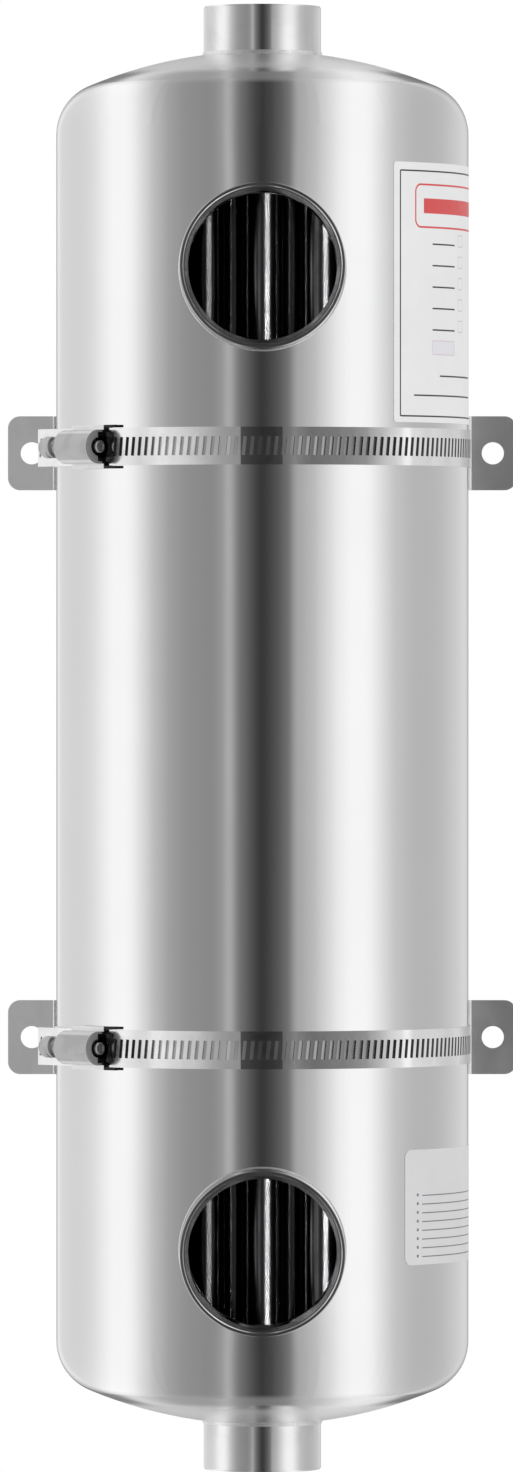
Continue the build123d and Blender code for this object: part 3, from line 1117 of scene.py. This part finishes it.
def worm_screw(name):
    """A worm screw along the band's tail in place of the plain bar."""
    low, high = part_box(name)
    base = Vector((axis_x, axis_y, (low.z + high.z) / 2))
    base += (tail_radius + screw_lift) * tail_outward
    boss = [(0.9, 0.3), (1.25, 0.3), (1.45, 0.0), (1.75, 0.0), (2.0, 0.15), (2.1, 0.45)]
    stations = [(reach * MM, boss_front + back * MM) for reach, back in boss]
    stations.append((boss_radius, worm_start))
    stations += [(None, along) for along in thread_rows(worm_start, worm_end, worm_pitch)]
    stations += [(worm_crest - tip_round * (1 - math.cos(turn)),
                  screw_tip - tip_round * (1 - math.sin(turn)))
                 for turn in quarter_turns(tip_steps)]
    rings = []
    for reach, along in stations:
        ring = []
        for turn in turns_round(worm_points):
            cut = groove_depth(turn, along, worm_start - worm_pitch, worm_end, worm_pitch)
            radius = worm_crest - (worm_crest - worm_root) * cut if reach is None else reach
            ring.append(base + along * tail_way
                        + radius * (math.cos(turn) * tail_outward + math.sin(turn) * skyward))
        rings.append(ring)
    return skin_rings(name.replace("_clamp_screw", "_worm_screw"), rings, plated)


for where in ("upper", "lower"):
    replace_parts(worm_screw(where + "_clamp_screw"), where + "_clamp_screw")

# %% [markdown]
# Two paper labels are stuck round the right side of the shell. A label is a very thin sheet on
# the shell's curve with round corners, skinned from columns that get shorter towards each end.

# %% Function that sticks a label round the shell
label_thickness = 0.10 * MM
corner_steps = 6
middle_steps = 60
largest_inset = 0.999


def curved_label(name, edge_turn, width, low, high, corner, material):
    """A label from a turn to the right of the front, between two heights above the middle."""
    starts = [corner * (1 - math.cos(turn)) for turn in quarter_turns(corner_steps)[:-1]]
    middles = [corner + (width - 2 * corner) * step / middle_steps
               for step in range(middle_steps + 1)]
    columns = starts + middles + [width - start for start in reversed(starts)]
    rings = []
    for column in columns:
        from_end = min(column, width - column, corner)
        inset = min(corner - math.sqrt(corner ** 2 - (corner - from_end) ** 2),
                    corner * largest_inset)
        turn = edge_turn + column / shell_radius
        ring = []
        for reach, height in ((label_thickness, low + inset), (label_thickness, high - inset),
                              (0.0, high - inset), (0.0, low + inset)):
            radius = shell_radius + reach
            ring.append((axis_x + radius * math.sin(turn), axis_y - radius * math.cos(turn),
                         middle_z + height))
        rings.append(ring)
    return skin_rings(name, rings, material)


print("Labels can be stuck round the shell")

# %% [markdown]
# A label's print is a list of frames: how far in from the left edge each starts, its top edge,
# its width and height, its corners, the width of its line, its colour, and whether it is filled.
# The same short function prints both labels. The labels are blank forms, with rules and
# boxes to write in.

# %% Function that prints a label
paper_rough = 0.42
handled_rough = 0.54
handled_share = 0.97
handled_patch = 18.0


def print_label(name, paper, edge_turn, art):
    """A paper material with printed frames, laid out in millimetres from the label's edge."""
    material, tree, shader = start_material(name)
    place = place_on(tree, shell_axis)
    edge = edge_turn * (shell_radius + label_thickness) / MM
    film = use_group(tree, film_group, Place=place, Patch=handled_patch, Clean=paper_rough,
                     Dull=handled_rough)
    handled = [handled_share * part for part in paper[:3]] + [1]
    colour = mix_colours(tree, film["Film"], paper, handled)
    for start, top, width, height, corner, line, ink, filled in art:
        middle = (edge + start + width / 2, 0, middle_z / MM + top - height / 2)
        drawn = use_group(tree, frame_group, Place=place, Middle=middle,
                          Half_Size=(width / 2, 1, height / 2), Corner=corner, Line=line)
        colour = mix_colours(tree, drawn["Inside" if filled else "Ink"], colour, ink)
    feed(tree, shader, {"Base Color": colour, "Roughness": film["Roughness"]})
    print("Label", name, "has", len(art), "printed frames")
    return material


def rule(start, top, width, height, ink):
    """A ruled line or a small square, which is a thin filled frame."""
    return (start, top, width, height, 0.1, 0.2, ink, True)


black_ink = (0.035, 0.035, 0.04, 1)
grey_ink = (0.20, 0.20, 0.21, 1)
faint_ink = (0.62, 0.62, 0.66, 1)
red_ink = (0.76, 0.08, 0.08, 1)
pale_red = (0.78, 0.66, 0.70, 1)
lilac_tint = (0.85, 0.84, 0.88, 1)
print("Labels can be printed in six inks")

# %% [markdown]
# The upper label is a form for the installer: a black border, a red heading box with a plain
# red bar, five ruled rows with a tick box each, a tinted box and two more ruled rows.

# %% Stick the upper label
upper_edge = math.radians(39.0)
upper_rows, upper_first, upper_pitch = 5, 158.3, 6.85
upper_art = [
    (2.7, 181.3, 99.2, 78.3, 0.3, 0.5, black_ink, False),
    (9.6, 177.0, 85.4, 13.6, 2.4, 0.6, red_ink, False),
    (13.6, 172.6, 58.0, 4.8, 0.4, 0.5, red_ink, True),
    (18.2, 127.2, 15.0, 4.4, 0.3, 0.4, lilac_tint, True),
    (18.2, 127.2, 15.0, 4.4, 0.3, 0.35, pale_red, False),
    rule(22.6, 116.2, 30.0, 0.5, black_ink),
    rule(8.8, 109.9, 44.0, 0.5, black_ink),
]
for row in range(upper_rows):
    row_top = upper_first - upper_pitch * row
    upper_art.append(rule(18.3, row_top, 15.1, 0.5, black_ink))
    upper_art.append((36.6, row_top + 3.0, 4.6, 3.6, 0.3, 0.3, faint_ink, False))
upper_paper = print_label("upper_label_paper", (0.93, 0.93, 0.94, 1), upper_edge, upper_art)
curved_label("upper_label", upper_edge, width=104.6 * MM, low=101.0 * MM, high=184.0 * MM,
             corner=1.0 * MM, material=upper_paper)

# %% [markdown]
# The lower label is smaller and has round corners. It holds a list of ruled rows, each with a
# small square in front.

# %% Stick the lower label
lower_edge = math.radians(43.1)
lower_rows, lower_first, lower_pitch = 8, -145.2, 2.79
lower_art = []
for row in range(lower_rows):
    row_top = lower_first - lower_pitch * row
    lower_art.append(rule(5.4, row_top, 0.9, 0.9, grey_ink))
    lower_art.append(rule(8.0, row_top - 0.5, 42.0, 0.35, grey_ink))
lower_paper = print_label("lower_label_paper", (0.76, 0.76, 0.77, 1), lower_edge, lower_art)
curved_label("lower_label", lower_edge, width=62.0 * MM, low=-168.0 * MM, high=-131.2 * MM,
             corner=2.6 * MM, material=lower_paper)
